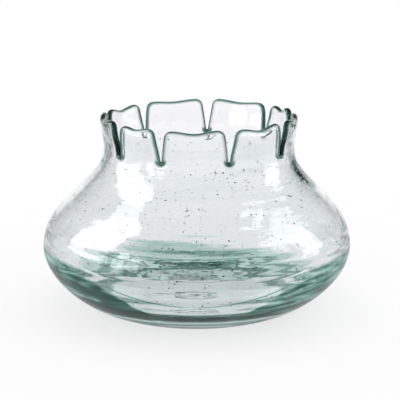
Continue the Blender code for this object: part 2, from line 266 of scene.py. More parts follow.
slot_nearness = np.exp(-((edge[:, 1] - SLOT_BOTTOM) / SLOT_END_REACH) ** 2)
bead_radius = BEAD_RADIUS * (1 + SLOT_BEAD_GAIN * slot_nearness)
bead_angle = np.linspace(0.0, BEAD_SPAN, BEAD_STEPS + 1)[:, None]
bead_points = edge + (bead_radius * (1 - np.cos(bead_angle)))[..., None] * edge_inward
bead_half = bead_radius * np.sin(bead_angle)
face_share = (np.arange(1, FACE_STEPS + 1) / FACE_STEPS)[:, None] ** FACE_CROWDING
upper_handle = UPPER_HANDLE_SHARE * (CORNER_RADIUS - BEAD_RADIUS * (1 - math.cos(BEAD_SPAN)))
lower_handle = LOWER_HANDLE_SHARE * np.linalg.norm(bottom - bead_points[-1], axis=1)[:, None]
upright = np.array((0.0, 1.0))
face_points = bezier((bead_points[-1], bead_points[-1] + edge_inward * upper_handle,
                      bottom + upright * lower_handle, bottom), np.repeat(face_share, len(edge), axis=1))
face_steps = np.linalg.norm(np.diff(face_points, axis=0, prepend=bead_points[-1:]), axis=-1)
fillet = np.exp(-np.cumsum(face_steps, axis=0) / FILLET_LENGTH)
face_half = TAB_HALF + (WALL / 2 - TAB_HALF) * smooth_step(face_share * THICKENING)
face_half = face_half + (bead_half[-1] - TAB_HALF) * fillet * (1 - smooth_step(face_share))
crown_turn = np.vstack((bead_points[..., 0], face_points[..., 0])) / NECK_RADIUS
crown_height = np.vstack((bead_points[..., 1], face_points[..., 1]))
crown_half = np.vstack((bead_half, face_half))
print("rows and columns of the crown:", crown_turn.shape)

# %% [markdown]
# Hand-made unevenness. Nothing blown by hand is quite round. The bowl is a little oval, the glass is
# thicker on one side than the other, and the turning pipe leaves faint rings. Each of these is a sum
# of a few sine waves that fit a whole number of times round the vase, so they meet where they began.


# %% Waves that close round the vase
def waves(turn, along, seed, count, most_turns, shortest, longest):
    """Sum of sines, each with a whole number of turns round and its own wavelength along, scaled to 1."""
    draw = np.random.default_rng(seed)
    total = np.zeros(np.broadcast(turn, along).shape)
    for _ in range(count):
        rounds = draw.integers(0, most_turns + 1)
        length = math.exp(draw.uniform(math.log(shortest), math.log(longest)))
        total += np.sin(rounds * turn + draw.choice((-1, 1)) * 2 * math.pi * along / length
                        + draw.uniform(0, 2 * math.pi))
    return total / math.sqrt(count / 2)


# %% Relief of the two skins
# Both have rings and lumps, and the inner one a slow drift in thickness too. Each set of waves is
# (height, seed, count, most turns round, shortest wave, longest wave).
OVAL = 0.25 * MM
OVAL_TURN = math.radians(70)
OVAL_REACH = 40 * MM
OUTER_WAVES = (
    (0.040 * MM, 3, 14, 2, 3.5 * MM, 9 * MM),
    (0.0325 * MM, 5, 12, 7, 14 * MM, 45 * MM),
)
INNER_WAVES = (
    (0.040 * MM, 7, 14, 3, 3.5 * MM, 10 * MM),
    (0.065 * MM, 11, 14, 6, 16 * MM, 50 * MM),
    (0.22 * MM, 13, 6, 3, 50 * MM, 120 * MM),
)


def common_shift(turn, height):
    """How far both skins are drawn in together, below zero: an oval, strongest at the belly."""
    at_belly = np.exp(-((height - BELLY_HEIGHT) / OVAL_REACH) ** 2)
    return -OVAL * at_belly * (1 + np.cos(2 * (turn - OVAL_TURN))) / 2


def skin_relief(sets, turn, along, calm):
    """Sum of a skin's waves, each set times its height. Calm is 0 on the shoulder and 1 in the heel."""
    return sum(height * waves(turn, along, *numbers) for height, *numbers in sets) * (1 - calm)


# %% [markdown]
# Placing the skins. A point is given by its turn, its height and how far it lies from the outer line
# along that line's normal. From the neck up both skins come from the same numbers, with half the
# thickness added or taken away, so the two always meet in the round edge of the bead.


# %% From turn, radius and height to a place
def outer_radius(height):
    """Radius of the outer line at a height, read off the line."""
    return np.interp(height, outer_line[:, 1], outer_line[:, 0])


def outer_normal(height):
    """Unit normal of the outer line at a height, from the slope over a millimetre."""
    slope = (outer_radius(height + 0.5 * MM) - outer_radius(height - 0.5 * MM)) / MM
    size = np.sqrt(1 + slope ** 2)
    return 1 / size, -slope / size


def place(turn, radius, height):
    """World place: radius times the sine and minus the cosine of the turn, plus the neck's lean."""
    lean = RIM_LEAN * smooth_step((height - BELLY_HEIGHT) / (NECK_HEIGHT - BELLY_HEIGHT))
    radius = radius + common_shift(turn, height) * np.clip(radius / BELLY_RADIUS, 0.0, 1.0)
    x = radius * np.sin(turn) + lean
    y = -radius * np.cos(turn)
    return np.stack(np.broadcast_arrays(x, y, height), axis=-1)


def crown_skin(side):
    """One skin of the crown, outer for side 1 and inner for -1. Relief starts at half the thickness."""
    radial, upward = outer_normal(crown_height)
    relief = skin_relief(OUTER_WAVES if side > 0 else INNER_WAVES, crown_turn, crown_height, 0.0)
    thickness_share = crown_half / (WALL / 2)
    relief = relief * smooth_step((thickness_share - 0.5) * 2)
    reach = side * crown_half - WALL / 2 + relief * np.minimum(thickness_share, 1.0)
    return place(crown_turn, outer_radius(crown_height) + radial * reach, crown_height + upward * reach)


def line_normals(line, outside):
    """Unit normals of a profile line, turned to the outside or the inside of the glass."""
    along = np.gradient(line, axis=0)
    along /= np.linalg.norm(along, axis=1)[:, None]
    normal = np.stack((-along[:, 1], along[:, 0]), axis=1)
    return normal * outside


# %% The bowl's two skins as lines of (radius, height), top to bottom
SHOULDER_ROWS = 37
BOWL_ROWS = 38
PUNT_ROWS = 28
FLOOR_ROWS = 34
PUNT_POINTS = 200
PONTIL_POINTS = 60
PONTIL_EDGE_WIDTH = 1.6 * MM
PONTIL_STEEPNESS = 6

punt_share = np.linspace(0.0, 1.0, PUNT_POINTS)[1:]
punt_edge = PONTIL_RADIUS + PONTIL_EDGE_WIDTH
punt = np.stack((FOOT_INNER_RADIUS + (punt_edge - FOOT_INNER_RADIUS) * punt_share,
                 PUNT_DEPTH * smooth_step(punt_share)), axis=1)
pontil_share = np.linspace(0.0, 1.0, PONTIL_POINTS)[1:]
pontil = np.stack((punt_edge * (1 - pontil_share),
                   PUNT_DEPTH - PONTIL_RELIEF * smooth_step(pontil_share * PONTIL_STEEPNESS)), axis=1)
under_line = np.vstack(((FOOT_RADIUS, 0.0), (FOOT_INNER_RADIUS, 0.0), punt, pontil))
underside = evenly(under_line, PUNT_ROWS + 2)[1:-1]
outer_shoulder = evenly(shoulder[shoulder[:, 1] <= CROWN_BOTTOM][::-1], SHOULDER_ROWS + 1)[1:]
outer_bowl = evenly(lower_bowl[::-1], BOWL_ROWS + 1)[1:]
outer_rows = np.vstack((outer_shoulder, outer_bowl, underside))

radial, upward = outer_normal(outer_shoulder[:, 1])
inner_shoulder = outer_shoulder - WALL * np.stack((radial, upward), axis=1)
inner_below = evenly(inner_bowl, BOWL_ROWS + FLOOR_ROWS + 2)[1:-1]
inner_rows = np.vstack((inner_shoulder, inner_below))
print("rows outside and inside:", len(outer_rows), len(inner_rows))

# %% [markdown]
# The swirl in the base. Where the hot gather was joined to the rod and pushed up, the floor and the
# underside keep folds that curl round the middle. They are ridges with sharp crests: one minus the
# size of a sine, to a power, over a turn that winds up towards the middle.


# %% Folds in the base
FOLD_RELIEF = 0.8 * MM
FOLD_REACH = 44.0 * MM
FOLD_FADE = 22 * MM
FOLD_EYE = 5 * MM
FOLD_CENTRE = (2.0 * MM, 30.0 * MM)
FOLD_ARMS_AND_PITCHES = ((1, 14 * MM), (2, 19 * MM), (3, 26 * MM))
FOLD_SHARPNESS = 3
FOLD_BEND = 0.9
FOLD_BEND_WAVES = 5
FOLD_BEND_LENGTHS = (18 * MM, 45 * MM)


def folds(x, y, seed):
    """Sharp-crested ridges that wind round the fold centre and fade out at FOLD_REACH."""
    draw = np.random.default_rng(seed)
    from_x = x - FOLD_CENTRE[0]
    from_y = y - FOLD_CENTRE[1]
    radius = np.hypot(from_x, from_y)
    turn = np.arctan2(from_y, from_x)
    warp = np.zeros_like(radius)
    for _ in range(FOLD_BEND_WAVES):
        bearing = draw.uniform(0, 2 * math.pi)
        distance = x * math.cos(bearing) + y * math.sin(bearing)
        length = draw.uniform(*FOLD_BEND_LENGTHS)
        warp += np.sin(distance * 2 * math.pi / length + draw.uniform(0, 2 * math.pi))
    total = np.zeros_like(radius)
    for arms, pitch in FOLD_ARMS_AND_PITCHES:
        phase = arms * turn + 2 * math.pi * radius / pitch + FOLD_BEND * warp + draw.uniform(0, 2 * math.pi)
        crest = (1 - np.abs(np.sin(phase / 2))) ** FOLD_SHARPNESS
        total += crest / arms
    return total * smooth_step((FOLD_REACH - radius) / FOLD_FADE) * smooth_step(radius / FOLD_EYE)


# %% [markdown]
# One closed mesh. The crown has two columns of points for each one of the bowl, so a ring of
# five-sided faces lies between them. Further down the columns ease from under their tabs to an even
# spacing. The outer and the inner skin share the melted edge's first row of points, and a fan of
# triangles closes each at the axis. The relief fades out in the heel, where the real glass is smooth.

# %% Grids of the bowl
CROWN_PER_BOWL = 2
FIRST_EVEN_COLUMN = math.radians(-60)
CALM_HEIGHT = 34 * MM
CALM_FADE = 12 * MM
FOOT_MARGIN = 1 * MM
FOOT_FADE = 8 * MM
CENTRE_FADE = 20 * MM
UNDERSIDE_SEED = 21
FLOOR_SEED = 23
at_crown = crown_turn[-1][::CROWN_PER_BOWL]
even = FIRST_EVEN_COLUMN + np.arange(len(at_crown)) * 2 * math.pi / len(at_crown)


def bowl_skin(line, outside):
    """One skin below the crown: the columns ease from the crown's turns to even ones."""
    rows = np.arange(1, len(line) + 1)
    ease = smooth_step(rows / SHOULDER_ROWS)[:, None]
    turn = at_crown + (even - at_crown) * ease
    along = np.cumsum(np.linalg.norm(np.diff(line, axis=0, prepend=line[:1]), axis=1))[:, None]
    radius = line[:, :1]
    height = line[:, 1:2]
    calm = smooth_step((CALM_HEIGHT - height) / CALM_FADE)
    x = radius * np.sin(turn)
    y = -radius * np.cos(turn)
    if outside:
        on_foot = smooth_step((radius - (FOOT_RADIUS + FOOT_MARGIN)) / FOOT_FADE)
        under = smooth_step((FOOT_INNER_RADIUS - radius) / FOOT_FADE)
        relief = skin_relief(OUTER_WAVES, turn, along, calm) * on_foot
        relief = relief - under * (FOLD_RELIEF * folds(x, y, UNDERSIDE_SEED))
    else:
        relief = -skin_relief(INNER_WAVES, turn, along, calm) * smooth_step(radius / CENTRE_FADE)
        relief = relief + FOLD_RELIEF * folds(x, y, FLOOR_SEED) * calm
    normal = line_normals(line, 1 if outside else -1)
    return place(turn, radius + normal[:, :1] * relief, height + normal[:, 1:2] * relief)


# %% Faces between the rings
def quads(upper, lower, columns):
    """Faces between two rings of the same count, wound so that they face out on the outer skin."""
    step = np.arange(columns)
    after = (step + 1) % columns
    return np.stack((lower + step, lower + after, upper + after, upper + step), axis=1).tolist()


def skin_faces(first_bowl_row, rows, centre, crown_rows, outside):
    """All faces of one skin: crown quads, one ring of five-sided faces, bowl quads, a closing fan."""
    crown_columns = len(edge)
    bowl_columns = len(at_crown)
    faces = []
    for upper, lower in zip(crown_rows[:-1], crown_rows[1:]):
        faces += quads(upper, lower, crown_columns)
    step = np.arange(bowl_columns)
    after = (step + 1) % bowl_columns
    last = crown_rows[-1]
    double = step * CROWN_PER_BOWL
    faces += np.stack((first_bowl_row + step, first_bowl_row + after, last + (double + 2) % crown_columns,
                       last + double + 1, last + double), axis=1).tolist()
    for row in range(rows - 1):
        upper = first_bowl_row + row * bowl_columns
        faces += quads(upper, upper + bowl_columns, bowl_columns)
    ring = first_bowl_row + (rows - 1) * bowl_columns
    faces += np.stack((np.full(bowl_columns, centre), ring + after, ring + step), axis=1).tolist()
    return faces if outside else [face[::-1] for face in faces]


def make_mesh(name, points, faces):
    """A smooth-shaded mesh object at the origin."""
    mesh = bpy.data.meshes.new(name)
    mesh.from_pydata(points.tolist(), [], faces)
    mesh.polygons.foreach_set("use_smooth", np.ones(len(mesh.polygons), dtype=bool))
    mesh.update()
    item = bpy.data.objects.new(name, mesh)
    bpy.context.scene.collection.objects.link(item)
    return item


# %% Join the skins
outer_crown = crown_skin(1)
inner_crown = crown_skin(-1)
outer_bowl_points = bowl_skin(outer_rows, True)
inner_bowl_points = bowl_skin(inner_rows, False)
outer_centre = outer_bowl_points[-1].mean(axis=0)
inner_centre = inner_bowl_points[-1].mean(axis=0)
blocks = (outer_crown.reshape(-1, 3), inner_crown[1:].reshape(-1, 3), outer_bowl_points.reshape(-1, 3),
          inner_bowl_points.reshape(-1, 3), outer_centre[None], inner_centre[None])
starts = np.concatenate(([0], np.cumsum([len(block) for block in blocks])))
crown_rows_outside = [row * len(edge) for row in range(len(crown_turn))]
crown_rows_inside = [0] + [int(starts[1]) + row * len(edge) for row in range(len(crown_turn) - 1)]
faces = skin_faces(int(starts[2]), len(outer_rows), int(starts[4]), crown_rows_outside, True)
faces += skin_faces(int(starts[3]), len(inner_rows), int(starts[5]), crown_rows_inside, False)
vase = make_mesh("blown_glass", np.vstack(blocks), faces)
print("vase triangles:", sum(len(face) - 2 for face in faces))

# %% [markdown]
# Two numbers at every point. Later the glass has to know where to lay painted shade, on its melted edge
# and round the ends of its slots, and which of its skins is the outer one. Both are known here, row by
# row, so they are written into the mesh.

# %% Attributes for the painted shade of the melted edge, and for the outer skin
EDGE_SHADE_START = math.radians(45)
EDGE_SHADE_END = math.radians(100)
SLOT_END_NARROWNESS = 4

# Share of painted shade: the outer part of the bead, and round the ends of the slots.
in_bead = 1 - smooth_step((bead_angle - EDGE_SHADE_START) / (EDGE_SHADE_END - EDGE_SHADE_START))
slot_end = slot_nearness ** SLOT_END_NARROWNESS
edge_shade_rows = np.vstack((np.maximum(in_bead, slot_end), slot_end * fillet ** SLOT_END_NARROWNESS))
edge_shade_share = np.zeros(int(starts[-1]))
for crown_rows in (crown_rows_outside, crown_rows_inside):
    for row, share in zip(crown_rows, edge_shade_rows):
        edge_shade_share[row:row + len(edge)] = share
vase.data.attributes.new("melted_edge_shade", "FLOAT", "POINT").data.foreach_set("value", edge_shade_share)
outer_share = np.zeros(int(starts[-1]))
outer_share[:int(starts[1])] = 1.0
outer_share[int(starts[2]):int(starts[3])] = 1.0
outer_share[int(starts[4])] = 1.0
vase.data.attributes.new("outer_skin", "FLOAT", "POINT").data.foreach_set("value", outer_share)

# %% [markdown]
# Seeds. Recycled glass is full of tiny air bubbles that the workers call seeds. Each is a small ball,
# drawn out a little round the vase, the way the glass was turned. They sit inside the glass, so each
# is placed part of the way from the outer line to the inner one, and is kept well within the wall. A
# few long ones and four larger blisters in the floor break the evenness.

# %% Where the seeds lie
SEED_COUNT = 1500
SEED_SMALLEST = 0.18 * MM
SEED_LARGEST = 0.42 * MM
SEED_SIDES = 8
SEED_RINGS = 4
SEED_PATH_POINTS = 700
SEED_DEPTHS = (0.2, 0.8)
THICK_GLASS_SHARE = 0.3
SMALL_SEED_LEAD = 1.6
SEED_IN_WALL = 0.17
SEED_STRETCH = 0.25
LONG_SEED_LIMIT = 0.96
LONG_SEED_STRETCH = 2.0
SEEDS_RANDOM = 29

below_slots = outer_line[outer_line[:, 1] < SLOT_BOTTOM]
outer_path = evenly(np.vstack(((0.0, PUNT_DEPTH), (FOOT_INNER_RADIUS, 0.0), below_slots)), SEED_PATH_POINTS)
inner_path = evenly(np.vstack((inner_bowl[::-1], inner_shoulder[::-1])), SEED_PATH_POINTS)
gap = np.linalg.norm(outer_path[:, None] - inner_path[None], axis=2)
nearest = inner_path[np.argmin(gap, axis=1)]
thickness = gap.min(axis=1)
draw = np.random.default_rng(SEEDS_RANDOM)
weight = outer_path[:, 0] * thickness ** THICK_GLASS_SHARE
pick = draw.choice(len(outer_path), SEED_COUNT, p=weight / weight.sum())
depth = draw.uniform(*SEED_DEPTHS, SEED_COUNT)[:, None]
seed_line = outer_path[pick] + (nearest[pick] - outer_path[pick]) * depth
seed_turn = draw.uniform(0, 2 * math.pi, SEED_COUNT)
growth = draw.uniform(0, 1, SEED_COUNT) ** SMALL_SEED_LEAD
seed_size = SEED_SMALLEST * (SEED_LARGEST / SEED_SMALLEST) ** growth
seed_size = np.minimum(seed_size, SEED_IN_WALL * thickness[pick])
stretch = 1 + draw.exponential(SEED_STRETCH, SEED_COUNT)
stretch = stretch + (draw.uniform(0, 1, SEED_COUNT) > LONG_SEED_LIMIT) * LONG_SEED_STRETCH


# %% Make the seeds
def seed_cloud(centres, sizes, stretches, turns):
    """Small balls: rings of points between two poles, drawn out along the direction round the vase."""
    latitude = np.linspace(0, math.pi, SEED_RINGS + 1)[1:-1]
    longitude = np.arange(SEED_SIDES) * 2 * math.pi / SEED_SIDES
    x = np.outer(np.sin(latitude), np.cos(longitude))
    y = np.outer(np.sin(latitude), np.sin(longitude))
    z = np.repeat(np.cos(latitude)[:, None], SEED_SIDES, axis=1)
    ring = np.stack((x, y, z), axis=-1).reshape(-1, 3)
    ball = np.vstack((ring, (0, 0, 1), (0, 0, -1)))
    tangent = np.stack((np.cos(turns), np.sin(turns), np.zeros_like(turns)), axis=1)
    points = centres[:, None] + ball[None] * sizes[:, None, None]
    pull = (ball @ tangent.T).T * sizes[:, None] * (stretches - 1)[:, None]
    points = points + pull[..., None] * tangent[:, None]
    top = len(ring)
    last = top - SEED_SIDES
    one = []
    for side in range(SEED_SIDES):
        after = (side + 1) % SEED_SIDES
        for row in range(0, last, SEED_SIDES):
            below = row + SEED_SIDES
            one.append((row + side, below + side, below + after, row + after))
        one.append((top, side, after))
        one.append((top + 1, last + after, last + side))
    starts = np.arange(len(centres)) * len(ball)
    faces = [tuple(point + start for point in face) for start in starts.tolist() for face in one]
    return points.reshape(-1, 3), faces


seed_centres = place(seed_turn, seed_line[:, 0], seed_line[:, 1])
seeds = make_mesh("seeds", *seed_cloud(seed_centres, seed_size, stretch, seed_turn))
print("seeds:", SEED_COUNT, "largest radius, mm:", round(float(seed_size.max()) * 1000, 2))

# %% Blisters in the floor, as (x, y, radius) in mm
BLISTERS = ((-18.6, 4.3, 0.75), (5.0, 5.0, 0.60), (16.8, 7.0, 0.65), (-4.0, -12.0, 0.45))
BLISTER_HEIGHT = 4.6 * MM
BLISTER_STRETCH = 2.4
blister_places = np.array(BLISTERS) * MM
blister_centres = np.column_stack((blister_places[:, :2], np.full(len(BLISTERS), BLISTER_HEIGHT)))
blister_stretch = np.full(len(BLISTERS), BLISTER_STRETCH)
blisters = make_mesh("blisters", *seed_cloud(
    blister_centres, blister_places[:, 2], blister_stretch, np.zeros(len(BLISTERS))))

# %% [markdown]
# Writing shaders as sums. A node graph is easier to read as arithmetic, so a small class wraps a
# node's output and turns plus, minus, times and divided by into Math nodes. A second class adds the
# nodes, and has short names for the ones that this vase uses again and again.


# %% A socket that can be calculated with
class Value:
    """The output of a node. Arithmetic on it adds Math nodes to the same tree."""

    def __init__(self, recipe, socket):
        self.recipe = recipe
        self.socket = socket

    def maths(self, operation, first, second):
        return self.recipe.node("ShaderNodeMath", {"operation": operation}, {0: first, 1: second})

    def __add__(self, other):
        return self.maths("ADD", self, other)

    def __sub__(self, other):
        return self.maths("SUBTRACT", self, other)

    def __rsub__(self, other):
        return self.maths("SUBTRACT", other, self)

    def __mul__(self, other):
        return self.maths("MULTIPLY", self, other)

    def __truediv__(self, other):
        return self.maths("DIVIDE", self, other)

    def largest(self, other):
        return self.maths("MAXIMUM", self, other)

    def size(self):
        return self.maths("ABSOLUTE", self, 0.0)

    def ramp(self, start, end):
        """A smooth step from 0 where the value is start to 1 where it is end. Start may be the larger."""
        low, high = min(start, end), max(start, end)
        rises = float(end > start)
        return self.recipe.node("ShaderNodeMapRange", {"interpolation_type": "SMOOTHSTEP"}, {
            "Value": self, "From Min": low, "From Max": high, "To Min": 1 - rises, "To Max": rises})

    __radd__ = __add__
    __rmul__ = __mul__


# %% A tree that nodes are added to
NOISE_ROUGHNESS = 0.55
WHITE = (1.0, 1.0, 1.0, 1.0)
BLACK = (0.0, 0.0, 0.0, 1.0)


class Recipe:
    """Adds nodes to the tree of one material or world."""

    def __init__(self, tree):
        tree.nodes.clear()
        self.tree = tree

    def node(self, kind, settings=None, inputs=None, output=0):
        """Makes a node, sets it up, feeds its sockets with numbers or links, and gives one output."""
        made = self.tree.nodes.new(kind)
        for name, value in (settings or {}).items():
            setattr(made, name, value)
        for name, value in (inputs or {}).items():
            if isinstance(value, Value):
                self.tree.links.new(value.socket, made.inputs[name])
            else:
                made.inputs[name].default_value = value
        return Value(self, made.outputs[output]) if made.outputs else None

    def mix_colours(self, factor, first, second):
        """From the first colour at factor 0 to the second at 1.

        A Mix node keeps its colours in sockets 6 and 7 and gives their mix at output 2.
        """
        return self.node("ShaderNodeMix", {"data_type": "RGBA"}, {
            "Factor": factor, 6: first, 7: second}, output=2)

    def noise(self, place, scale, detail, squeeze):
        """Noise squeezed along Z, so that a large squeeze gives level streaks."""
        mapped = self.node("ShaderNodeMapping", {}, {
            "Vector": place, "Scale": (scale, scale, scale * squeeze)})
        return self.node("ShaderNodeTexNoise", {"noise_dimensions": "3D"}, {
            "Vector": mapped, "Scale": 1.0, "Detail": detail, "Roughness": NOISE_ROUGHNESS})

    def part(self, vector, axis):
        """One coordinate of a place or a direction."""
        return self.node("ShaderNodeSeparateXYZ", {}, {0: vector}, output=axis)

    def length(self, vector):
        """Distance from the origin."""
        return self.node("ShaderNodeVectorMath", {"operation": "LENGTH"}, {0: vector}, output="Value")

    def attribute(self, name):
        """The number that the mesh holds under this name at each of its points."""
        return self.node("ShaderNodeAttribute", {"attribute_name": name}, output="Fac")

    def ray(self, kind):
        """1 for a ray of this kind and 0 for any other."""
        return self.node("ShaderNodeLightPath", output=f"Is {kind} Ray")


def new_material(name):
    material = bpy.data.materials.new(name)
    material.use_nodes = True
    return material, Recipe(material.node_tree)


# %% [markdown]
# The glass. Clear glass takes its green from iron, and the colour grows with the length of glass that
# the light passes, so a thin wall looks almost white and the edge of the base looks bottle green. A
# Volume Absorption says just that. The surface carries the fine marks that are too small to model:
# stretched streaks round the vase from the turning pipe, and a soft orange-peel from the flame. The
# melted edge is thicker than the wall and carries light along its length, so it looks greener, and its
# round edge bends the dark room into view, so it looks dark. That dark green is partly painted shade:
# a tint laid where the mesh's own attribute says that the bead is.

# %% Surface of the glass: each noise as (scale per metre, detail, squeeze along Z)
STREAKS = (22.0, 3.0, 14.0)
PEEL = (160.0, 2.0, 1.6)
CLOUD = (30.0, 2.0, 2.5)
STREAK_BUMP = 0.06 * MM
PEEL_BUMP = 0.05 * MM
BUMPS_HEIGHT = (20 * MM, 40 * MM)
CLEAR_TINTS = ((0.955, 0.975, 0.968, 1.0), (0.985, 0.992, 0.990, 1.0))
EDGE_SHADE_GREEN = (0.012, 0.075, 0.050, 1.0)

glass, recipe = new_material("green_blown_glass")
on_glass = recipe.node("ShaderNodeTexCoord", output="Object")
streaks = recipe.noise(on_glass, *STREAKS)
peel = recipe.noise(on_glass, *PEEL)
cloud = recipe.noise(on_glass, *CLOUD)
above_table = recipe.part(on_glass, "Z")
above_base = above_table.ramp(*BUMPS_HEIGHT)
streaky = recipe.node("ShaderNodeBump", {}, {
    "Strength": 1.0, "Distance": STREAK_BUMP, "Height": streaks * above_base})
bumpy = recipe.node("ShaderNodeBump", {}, {
    "Strength": 1.0, "Distance": PEEL_BUMP, "Height": peel * above_base, "Normal": streaky})
tint = recipe.mix_colours(cloud, *CLEAR_TINTS)
# Painted shade: the melted edge and the slot ends are tinted dark green.
tint = recipe.mix_colours(recipe.attribute("melted_edge_shade"), tint, EDGE_SHADE_GREEN)

# %% [markdown]
# The deep green of the base, partly painted shade. Light that enters the thick heel runs round in it
# and comes out bottle green, and where the heel bends the view away from the white sheet it looks dark.
# Absorption alone stays too pale for that, so the base gets painted shade as dark green tints. On the
# outer skin they are a dark band low on the heel, which climbs to both sides, a thin line at the foot
# and a line at the front, where the floor's edge is seen through the glass. Each is a ramp over height,
# torn by noise, with more streaks to the right. A ramp's two ends stand in one named pair.

# %% Where a point of the glass lies
TORN = (35.0, 4.0, 7.0)
PATCHY = (70.0, 2.0, 1.0)
SIDE_FADE = 20 * MM

across = recipe.part(on_glass, "X")
deep = recipe.part(on_glass, "Y")
on_table = recipe.node("ShaderNodeVectorMath", {"operation": "MULTIPLY"}, {
    0: on_glass, 1: (1.0, 1.0, 0.0)})
from_axis = recipe.length(on_table)
outer_skin = recipe.attribute("outer_skin")
torn = recipe.noise(on_glass, *TORN) - 0.5
patchy = recipe.noise(on_glass, *PATCHY)
to_right = across.ramp(-SIDE_FADE, SIDE_FADE)
to_front = deep.ramp(SIDE_FADE, -SIDE_FADE)

# %% Painted shade: band of the heel
BAND_BOTTOM = 9.8 * MM
BAND_BOTTOM_FADE = 0.7 * MM
BAND_TOP = 15.0 * MM
BAND_TOP_FADE = 2.5 * MM
BAND_TEAR = 3 * MM
BAND_CLIMB = 17.0 * MM
CLIMB_TEAR = 5 * MM
CLIMB_BEARING = (0.87, -0.50)
CLIMB_WIDTH = (0.72, 1.0)
STREAK_STRENGTH = (2.4, 4.0)
STREAK_LEVEL = (0.95, 0.75)
BACK_AND_FRONT = (0.18, 1.0)


def between(share, first, second):
    """The first number where the share is 0, the second where it is 1."""
    return share * (second - first) + first


to_climb = (across.size() * CLIMB_BEARING[0] + deep * CLIMB_BEARING[1]) / from_axis
climb = to_climb.ramp(*CLIMB_WIDTH)
band_top = climb * BAND_CLIMB + BAND_TOP + torn * (climb * CLIMB_TEAR + BAND_TEAR)
# Painted shade: a dark band low on the heel, climbing to both sides.
shade_band = (band_top - above_table).ramp(0.0, BAND_TOP_FADE)
shade_band = shade_band * (above_table + torn * BAND_TEAR).ramp(BAND_BOTTOM - BAND_BOTTOM_FADE,
                          BAND_BOTTOM + BAND_BOTTOM_FADE)
streaked = torn * between(to_right, *STREAK_STRENGTH) + between(to_right, *STREAK_LEVEL)
shade_band = shade_band * streaked * between(to_front, *BACK_AND_FRONT)

# %% Painted shade: foot line, and the floor's edge seen at the front
FOOT_LINE = (4.8 * MM, 3.3 * MM)
FOOT_LINE_RADIUS = (44 * MM, 48 * MM)
FOOT_LINE_DEPTH = 0.8
SEEN_EDGE_HEIGHT = 20.3 * MM
SEEN_EDGE_RISE = 4.1
SEEN_EDGE_WIDTH = (0.55 * MM, 0.20 * MM)
SEEN_EDGE_END = (50 * MM, 38 * MM)
SEEN_EDGE_GAPS = (0.20, 0.45)
SEEN_EDGE_DEPTH = 0.65

# Painted shade: a thin dark line low on the foot.
foot_line = above_table.ramp(*FOOT_LINE) * from_axis.ramp(*FOOT_LINE_RADIUS)
# Painted shade: a dark arc on the front of the belly, where the floor's edge is seen through the glass.
seen_edge_height = across * across * SEEN_EDGE_RISE + SEEN_EDGE_HEIGHT
seen_floor_edge = (above_table - seen_edge_height).size().ramp(*SEEN_EDGE_WIDTH) * to_front
seen_floor_edge = seen_floor_edge * across.size().ramp(*SEEN_EDGE_END) * patchy.ramp(*SEEN_EDGE_GAPS)
outside_green_and_shade = shade_band.largest(foot_line * FOOT_LINE_DEPTH).largest(seen_floor_edge * SEEN_EDGE_DEPTH) * outer_skin

# %% [markdown]
# The green of the floor, partly painted shade. A dark ring is painted on it, an ellipse a little behind
# the middle, for the edge of the thick floor as it shows through the glass, and behind it dark arcs are
# painted over the folds, curling round a place behind the middle. The ring is a narrow ramp over a
# distance that is measured in the ellipse's own halves, so it is 1 all along the ellipse. The arcs are
# a wave of rings, bent by its own distortion and torn into arcs. A soft green fills the ellipse and the
# back of the heel. All of it lies on the inner skin.

# %% Painted shade: ring of the floor
RING_HALVES = (56.0 * MM, 50.0 * MM)
RING_MIDDLE = 9.0 * MM
RING_WAVER = 0.04
RING_WIDTH = (0.070, 0.025)
RING_GAPS = (0.10, 0.35)
RING_DEPTH = 0.75

ring_place = recipe.node("ShaderNodeMapping", {}, {
    "Vector": on_table,
    "Location": (0.0, -RING_MIDDLE / RING_HALVES[1], 0.0),
    "Scale": (1 / RING_HALVES[0], 1 / RING_HALVES[1], 1.0),
})
ring_size = recipe.length(ring_place)
# Painted shade: a dark line all along the ellipse.
ring = (ring_size + torn * RING_WAVER - 1.0).size().ramp(*RING_WIDTH) * patchy.ramp(*RING_GAPS)

# %% Painted dark arcs over the folds, and soft green of the floor
SWIRL_SCALE = 48.0
SWIRL_MIDDLE = 20.0 * MM
SWIRL_BEND = {"Distortion": 6.0, "Detail": 2.0, "Detail Scale": 0.6}
SWIRL_LINES = (0.78, 0.92)
SWIRL_GAPS = (0.30, 0.42)
SWIRL_HEIGHT = (16 * MM, 12 * MM)
SWIRL_START = (1.0, 1.3)
SWIRL_END = (2.05, 1.95)
BACK = (8 * MM, 24 * MM)
HEEL_HEIGHT = (19 * MM, 14 * MM)
HEEL_DEPTH = 0.30
FLOOR_EDGE = (1.02, 0.92)
FLOOR_DEPTH = 0.17
INSIDE_HEIGHT = (24 * MM, 19 * MM)

swirl_place = recipe.node("ShaderNodeMapping", {}, {
    "Vector": on_table,
    "Location": (0.0, -SWIRL_MIDDLE * SWIRL_SCALE, 0.0),
    "Scale": (SWIRL_SCALE,) * 3,
})
from_swirl = recipe.length(swirl_place)
wave = recipe.node("ShaderNodeTexWave", {"wave_type": "RINGS", "rings_direction": "Z"}, {
    "Vector": swirl_place, "Scale": 1.0, **SWIRL_BEND}, output="Fac")
at_back = deep.ramp(*BACK)
# Dark arcs painted over the folds behind the middle.
swirl = wave.ramp(*SWIRL_LINES) * patchy.ramp(*SWIRL_GAPS)
swirl = swirl * at_back * above_table.ramp(*SWIRL_HEIGHT)
swirl = swirl * from_swirl.ramp(*SWIRL_START) * from_swirl.ramp(*SWIRL_END)
heel_green = at_back * above_table.ramp(*HEEL_HEIGHT) * HEEL_DEPTH
soft_green = (ring_size.ramp(*FLOOR_EDGE) * FLOOR_DEPTH).largest(heel_green)
inside_green_and_shade = (ring * RING_DEPTH).largest(swirl).largest(soft_green)
inside_green_and_shade = inside_green_and_shade * above_table.ramp(*INSIDE_HEIGHT) * (1 - outer_skin)

